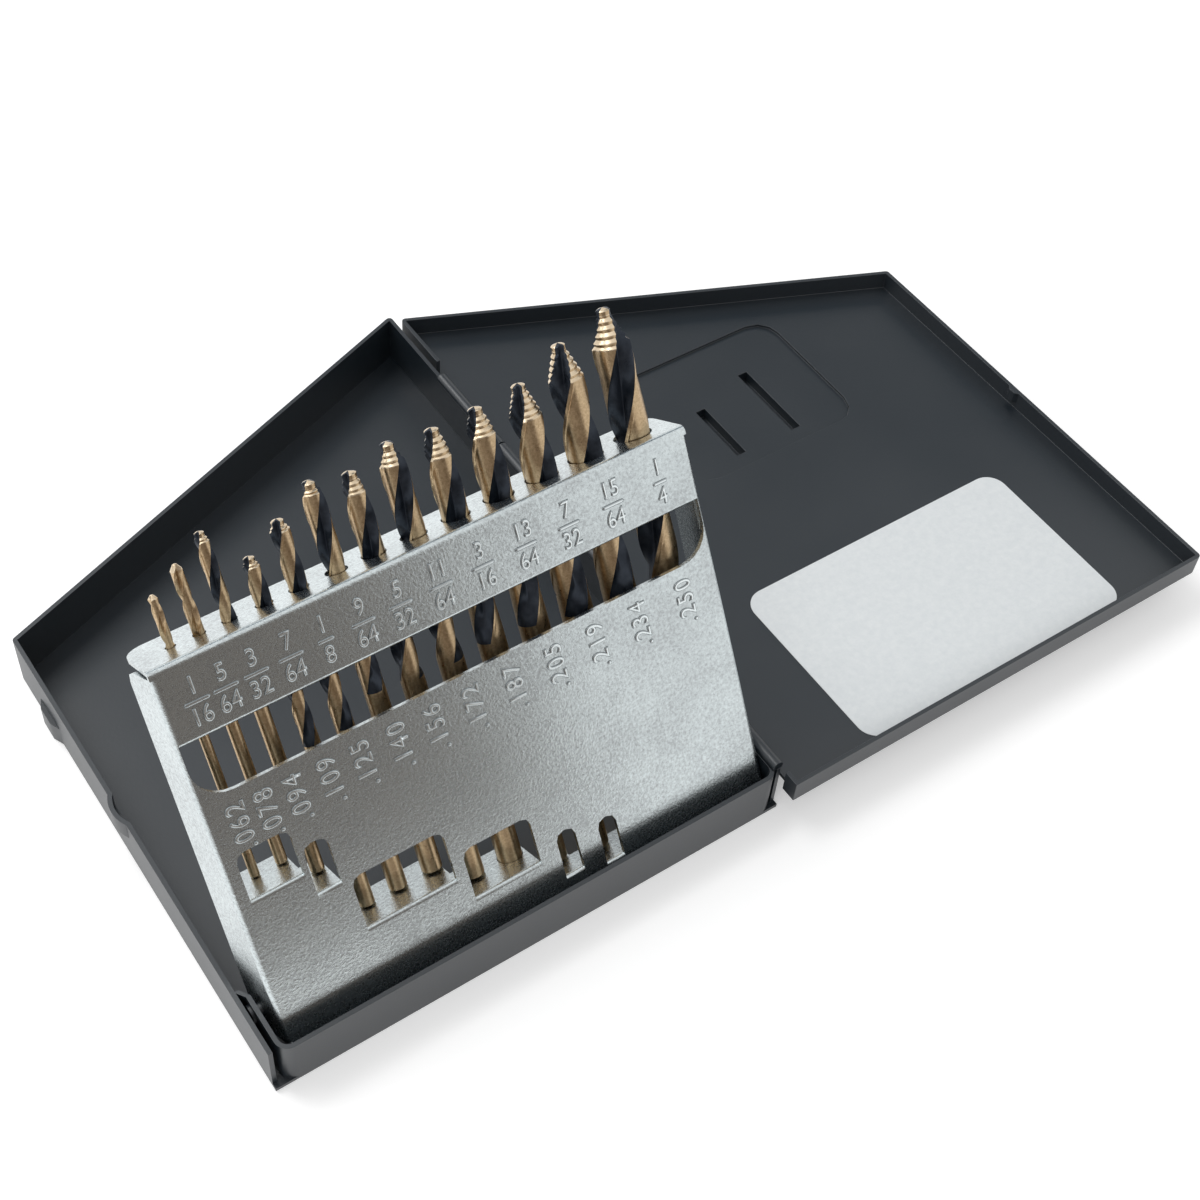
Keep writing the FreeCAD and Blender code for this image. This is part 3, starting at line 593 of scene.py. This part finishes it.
def raised_text(text, centre_x, centre_up, height, turn_deg, narrow, space):
    """Text as a mesh on the insert's face, its middle at a place, turned about the face's normal.

    Along = x * cos(turn) - y * sin(turn), and up = x * sin(turn) + y * cos(turn)."""
    curve = bpy.data.curves.new("number", "FONT")
    curve.body = text
    curve.size = height * LETTER_BOX_SHARE * MM
    curve.align_x = "CENTER"
    curve.align_y = "CENTER"
    curve.offset = -STROKE_INSET * MM
    curve.bevel_depth = NUMBER_RELIEF * MM
    curve.bevel_resolution = STROKE_ROUNDNESS
    curve.resolution_u = LETTER_ROUNDNESS
    curve.space_character = space
    item = bpy.data.objects.new("number", curve)
    scene_collection.objects.link(item)
    bpy.context.view_layer.update()
    mesh = bpy.data.meshes.new_from_object(item.evaluated_get(bpy.context.evaluated_depsgraph_get()))
    bpy.data.objects.remove(item)
    flat = np.empty(len(mesh.vertices) * 3)
    mesh.vertices.foreach_get("co", flat)
    flat = flat.reshape(-1, 3) / MM
    flat[:, 0] *= narrow
    turn = math.radians(turn_deg)
    along = flat[:, 0] * math.cos(turn) - flat[:, 1] * math.sin(turn)
    up = flat[:, 0] * math.sin(turn) + flat[:, 1] * math.cos(turn)
    placed = on_insert(centre_x + along, centre_up + up, flat[:, 2])
    mesh.vertices.foreach_set("co", (placed * MM).ravel())
    mesh.update()
    return mesh


print("numbers stand", NUMBER_RELIEF, "mm out of the face")

# %% [markdown]
# The line of a fraction has no letter of its own, so it is a surface: half an ellipse carried along
# a short way, closing to a point at both ends.

# %% Fraction line
BAR_THICKNESS = 0.34
BAR_TAPER_POWER = 14
BAR_ROWS, BAR_COLUMNS = 21, 11


def fraction_bar(x, up, width):
    """Up = half the thickness * taper * cos(c), and out = relief * taper * sin(c).

    The taper is sqrt(1 - |a| ^ power), where a runs from -1 to 1 along the bar."""
    along = np.linspace(-1, 1, BAR_ROWS)
    across = np.linspace(0, math.pi, BAR_COLUMNS)
    a, c = np.meshgrid(along, across, indexing="ij")
    taper = np.sqrt(np.clip(1 - np.abs(a) ** BAR_TAPER_POWER, 0, 1))
    rise, out = BAR_THICKNESS * taper * np.cos(c), NUMBER_RELIEF * taper * np.sin(c)
    points = on_insert(x + a * width / 2, up + rise, out)
    mesh = bpy.data.meshes.new("bar")
    corners = (points.reshape(-1, 3) * MM).tolist()
    mesh.from_pydata(corners, [], grid_faces(BAR_ROWS, BAR_COLUMNS).tolist())
    return mesh


print("a bar has", len(grid_faces(BAR_ROWS, BAR_COLUMNS)), "faces")

# %% [markdown]
# The thirteen sizes are laid out beside their drills and joined into one piece, which rides on the
# insert.

# %% Size numbers
NUMBER_TEXT = (
    ("1", "16", ".062"), ("5", "64", ".078"), ("3", "32", ".094"), ("7", "64", ".109"),
    ("1", "8", ".125"), ("9", "64", ".140"), ("5", "32", ".156"), ("11", "64", ".172"),
    ("3", "16", ".187"), ("13", "64", ".205"), ("7", "32", ".219"), ("15", "64", ".234"),
    ("1", "4", ".250"),
)
NUMBER_HEIGHT = 3.2
FRACTION_HEIGHT = NUMBER_HEIGHT * 0.92
NUMBER_SHIFT = 0.45
DECIMAL_SHIFT = 0.2
TOP_UP, BAR_UP, LOW_UP, DECIMAL_UP = 59.5, 56.9, 54.4, 35.0
LONG_BAR, SHORT_BAR = 4.3, 2.8
FRACTION_SHAPE = {"turn_deg": 0, "narrow": 0.84, "space": 1.06}
DECIMAL_SHAPE = {"turn_deg": 90, "narrow": 0.88, "space": 1.28}


def size_number(x, top, low, decimal):
    """The meshes of one size: numerator, line, denominator and decimal."""
    bar_width = LONG_BAR if len(low) == 2 else SHORT_BAR
    return [
        raised_text(top, x, TOP_UP, FRACTION_HEIGHT, **FRACTION_SHAPE),
        fraction_bar(x, BAR_UP, bar_width),
        raised_text(low, x, LOW_UP, FRACTION_HEIGHT, **FRACTION_SHAPE),
        raised_text(decimal, x - DECIMAL_SHIFT, DECIMAL_UP, NUMBER_HEIGHT, **DECIMAL_SHAPE),
    ]


def join_meshes(name, meshes, material):
    """One object from many meshes, all smooth and of one material."""
    whole = bmesh.new()
    for part in meshes:
        whole.from_mesh(part)
        bpy.data.meshes.remove(part)
    mesh = bpy.data.meshes.new(name)
    whole.to_mesh(mesh)
    whole.free()
    mesh.materials.append(material)
    mesh.polygons.foreach_set("use_smooth", np.full(len(mesh.polygons), True))
    piece = bpy.data.objects.new(name, mesh)
    scene_collection.objects.link(piece)
    return piece


numbers = []
for drill, texts in zip(DRILLS, NUMBER_TEXT):
    numbers += size_number(-drill[2] - NUMBER_SHIFT, *texts)
size_numbers = join_meshes("size_numbers", numbers, zinc_raised)
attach(size_numbers, "insert")
print("numbers", len(size_numbers.data.polygons), "faces")

# %% [markdown]
# The label is coated paper. It is white with a cool cast, a faint fibre and a soft gloss, and it is
# left blank.

# %% Label paper
paper = Finish("label_paper", Roughness=0.38)
fibre = paper.noise(900.0, 4.0)
paper.set("Base Color", paper.ramp(fibre, (0.3, (0.70, 0.735, 0.75)), (0.7, (0.76, 0.79, 0.80))))
paper.relief(fibre, strength=0.05, distance=0.00005)
print("made", paper.material.name)

# %% [markdown]
# The model's label has corners of a few chords, so a finer one stands for it: rings of one outline,
# from a middle point below, out and up the edge, to a middle point above.

# %% Label
LABEL_CORNER = 4.0
CORNER_POINTS = 14


def rounded_outline(low, high, corner):
    """Points round a rectangle whose corners are quarter circles: middle + corner * (cos, sin)."""
    x = np.array([high[0] - corner, low[0] + corner, low[0] + corner, high[0] - corner])
    y = np.array([high[1] - corner, high[1] - corner, low[1] + corner, low[1] + corner])
    angle = np.linspace(0, math.pi / 2, CORNER_POINTS) + np.arange(4)[:, None] * math.pi / 2
    return (x[:, None] + corner * np.cos(angle)).ravel(), (y[:, None] + corner * np.sin(angle)).ravel()


def sheet_points(low, high, corner):
    """Four rings, each middle + share * (outline - middle), at the bottom and the top heights."""
    ring_x, ring_y = rounded_outline(low, high, corner)
    middle = (low + high) / 2
    share = np.array([0.0, 1.0, 1.0, 0.0])[:, None]
    height = np.array([low[2], low[2], high[2], high[2]])[:, None]
    rings = (middle[0] + share * (ring_x - middle[0]), middle[1] + share * (ring_y - middle[1]))
    return np.stack(np.broadcast_arrays(*rings, height), axis=-1)


label_low, label_high = (np.array(corner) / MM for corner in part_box("lid_label"))
label_points = sheet_points(label_low, label_high, LABEL_CORNER)
label_faces = grid_faces(*label_points.shape[:2], wrap_columns=True)
label = mesh_piece("label_sheet", label_points.reshape(-1, 3), label_faces, (paper.material,))
recalculate(label)
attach(label, "lid")
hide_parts("lid_label")
print("label", len(label.data.polygons), "faces")

# %% [markdown]
# The stage is a pale floor that shows pure white to the camera and to reflections. To soft light
# the floor gives nothing of its own, so that it keeps the case's shadow.

# %% Floor and background
FLOOR_REACH = 3000.0
FLOOR_DROP = 0.2
FLOOR_GREY = 0.9
FLOOR_ROUGHNESS = 0.8
FLOOR_GLOW = 0.3
SKY_SOFT, SKY_SEEN = 0.55, 1.0


def seen_share(tree, low, high):
    """A strength that is high for camera, glossy and transmission rays, and low for diffuse ones."""
    rays = tree.nodes.new("ShaderNodeLightPath")
    widest = rays.outputs["Is Camera Ray"]
    for ray in ("Is Glossy Ray", "Is Transmission Ray"):
        larger = tree.nodes.new("ShaderNodeMath")
        larger.operation = "MAXIMUM"
        tree.links.new(widest, larger.inputs[0])
        tree.links.new(rays.outputs[ray], larger.inputs[1])
        widest = larger.outputs[0]
    strength = tree.nodes.new("ShaderNodeMapRange")
    strength.inputs["To Min"].default_value = low
    strength.inputs["To Max"].default_value = high
    tree.links.new(widest, strength.inputs["Value"])
    return strength.outputs["Result"]


def stage_sheet(name, corners, material):
    """A flat four-cornered sheet of the stage; corners in millimetres."""
    mesh = bpy.data.meshes.new(name)
    mesh.from_pydata([tuple(value * MM for value in corner) for corner in corners], [], [(0, 1, 2, 3)])
    mesh.materials.append(material)
    piece = bpy.data.objects.new(name, mesh)
    scene_collection.objects.link(piece)
    return piece


pale = bpy.data.materials.new("pale_floor")
pale.use_nodes = True
pale_shader = pale.node_tree.nodes["Principled BSDF"]
pale_shader.inputs["Base Color"].default_value = (*grey(FLOOR_GREY), 1)
pale_shader.inputs["Roughness"].default_value = FLOOR_ROUGHNESS
pale_shader.inputs["Specular IOR Level"].default_value = 0.0
pale_shader.inputs["Emission Color"].default_value = (1, 1, 1, 1)
floor_glow = seen_share(pale.node_tree, 0.0, FLOOR_GLOW)
pale.node_tree.links.new(floor_glow, pale_shader.inputs["Emission Strength"])

floor_corners = [(x * FLOOR_REACH, y * FLOOR_REACH, 0) for x, y in ((-1, -1), (1, -1), (1, 1), (-1, 1))]
floor = stage_sheet("floor", floor_corners, pale)
floor.location.z = -FLOOR_DROP * MM

world = bpy.data.worlds.new("studio")
bpy.context.scene.world = world
world.use_nodes = True
background = world.node_tree.nodes["Background"]
background.inputs["Color"].default_value = (1, 1, 1, 1)
sky_strength = seen_share(world.node_tree, SKY_SOFT, SKY_SEEN)
world.node_tree.links.new(sky_strength, background.inputs["Strength"])
print("floor reaches", FLOOR_REACH, "mm each way")

# %% [markdown]
# Zinc and enamel look like what stands round them. Two dark studio cards that only reflections see
# give the face its shade: dark at its left end, where it mirrors the front card, and bright at its
# right end. The top card keeps the floors of the trays dark.

# %% Dark cards
FRONT_CARD = ((-500, -130, 0), (15, -130, 0), (15, -130, 400), (-500, -130, 400))
FRONT_CARD_COLOUR = (0.195, 0.168, 0.150)
TOP_CARD = ((-600, 180, 370), (900, 180, 370), (900, 1100, 1000), (-600, 1100, 1000))
TOP_CARD_COLOUR = (0.13, 0.17, 0.21)


def card(name, corners, colour):
    """A flat studio card that only reflections see; it glows with its colour and mirrors nothing."""
    material = bpy.data.materials.new(name)
    material.use_nodes = True
    shader = material.node_tree.nodes["Principled BSDF"]
    shader.inputs["Base Color"].default_value = (0, 0, 0, 1)
    shader.inputs["Specular IOR Level"].default_value = 0.0
    shader.inputs["Emission Color"].default_value = (*colour, 1)
    shader.inputs["Emission Strength"].default_value = 1.0
    piece = stage_sheet(name, corners, material)
    for ray in ("camera", "diffuse", "shadow", "transmission", "volume_scatter"):
        setattr(piece, "visible_" + ray, False)
    print("made", name)


card("front_card", FRONT_CARD, FRONT_CARD_COLOUR)
card("top_card", TOP_CARD, TOP_CARD_COLOUR)

# %% [markdown]
# Two big soft lamps light the case as in a product studio: a key behind it and a weaker fill at the
# front left. Their size matters more than their strength, because a big lamp gives a soft shadow.

# %% Lamps
LAMP_SIZE = 500.0
KEY_PLACE, KEY_AIM, KEY_POWER = (-250, 500, 700), (0, 50, 0), 3.6
FILL_PLACE, FILL_AIM, FILL_POWER = (-500, -400, 500), (0, 50, 20), 1.3


def soft_lamp(name, place, aim, power):
    """A square lamp facing a point; places in millimetres, power in watts."""
    light = bpy.data.lights.new(name, "AREA")
    light.shape = "RECTANGLE"
    light.size = light.size_y = LAMP_SIZE * MM
    light.energy = power
    lamp = bpy.data.objects.new(name, light)
    lamp.location = Vector(place) * MM
    lamp.rotation_euler = (Vector(aim) - Vector(place)).to_track_quat("-Z", "Y").to_euler()
    scene_collection.objects.link(lamp)
    print("lamp", name, power, "W")


soft_lamp("key", KEY_PLACE, KEY_AIM, KEY_POWER)
soft_lamp("fill", FILL_PLACE, FILL_AIM, FILL_POWER)

# %% [markdown]
# The colours are shown as they are worked out, with no film curve.

# %% Colour view
bpy.context.scene.view_settings.view_transform = "Standard"
bpy.context.view_layer.update()
